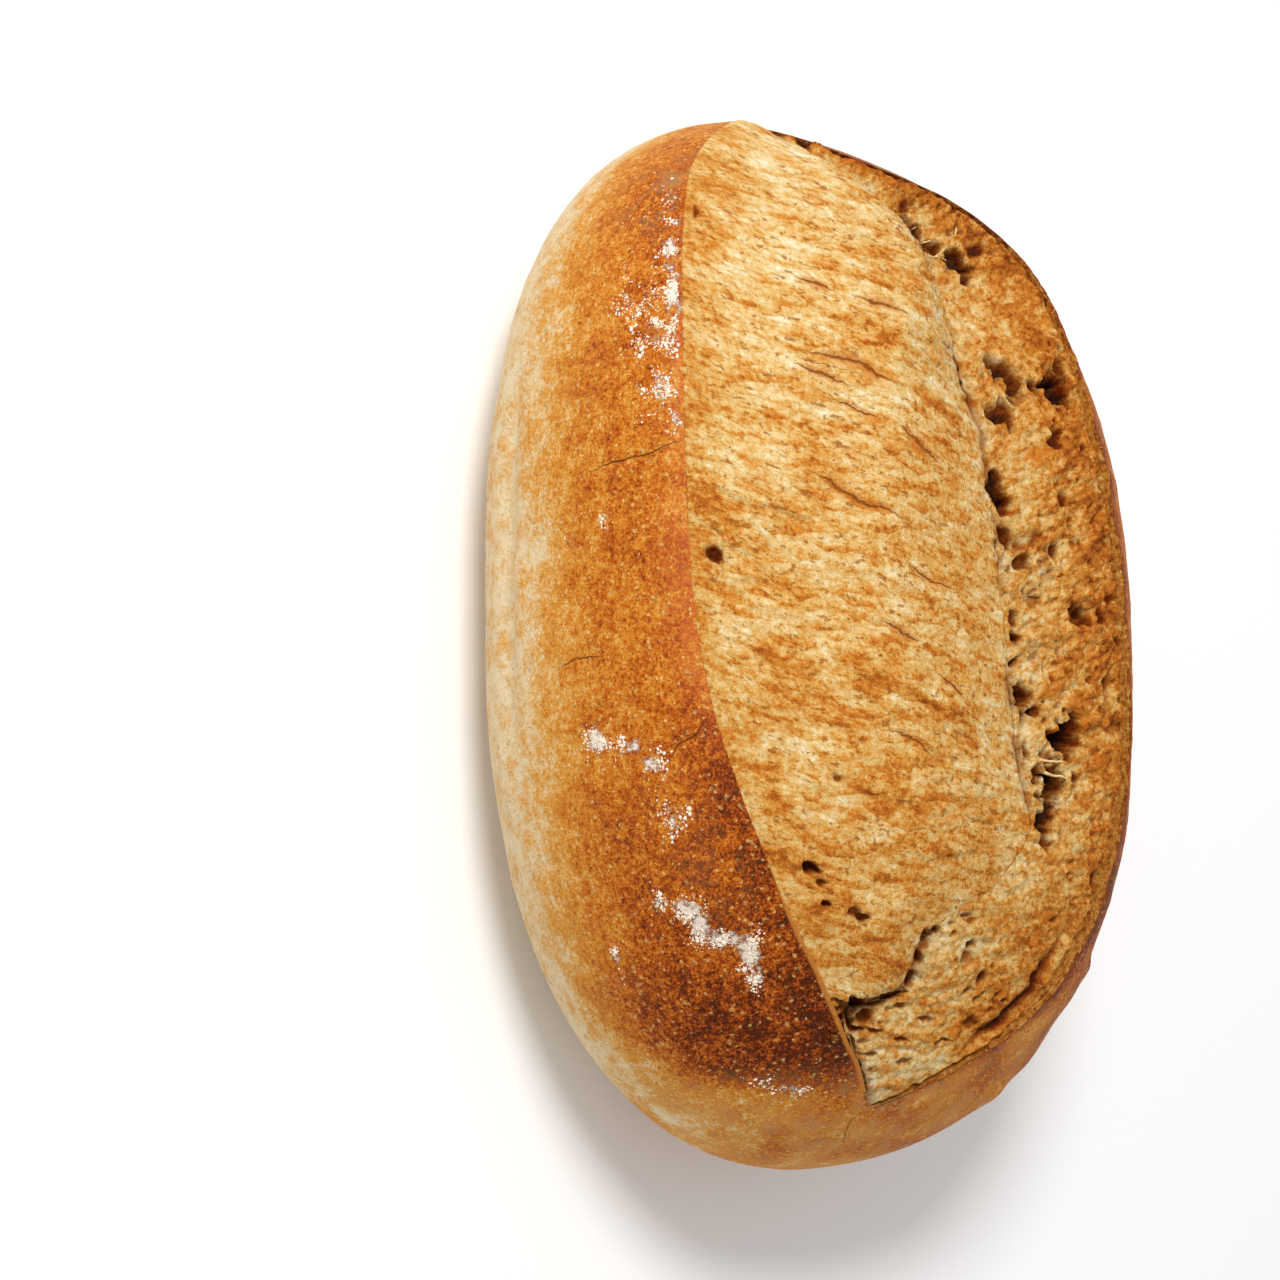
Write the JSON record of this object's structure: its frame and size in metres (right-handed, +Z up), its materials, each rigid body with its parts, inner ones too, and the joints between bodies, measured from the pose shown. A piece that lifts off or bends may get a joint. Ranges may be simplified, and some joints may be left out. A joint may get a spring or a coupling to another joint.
{
  "type": "sourdough loaf",
  "caption": "Oval country loaf on a flat base, scored along the top, with a burst of open crumb, a torn fissure and a raised crust ear.",
  "frame": {"origin": "middle of the flat base that the loaf rests on", "axes": "+X along the loaf towards the end where the score closes in a point, +Y towards the raised crust ear, +Z up"},
  "size_m": [0.27, 0.1724, 0.1175],
  "materials": {
    "crust": "matt baked crust, golden brown, paler at the foot and in the torn crumb"
  },
  "bodies": {
    "root": {"loaf": "crust"}
  },
  "joints": []
}
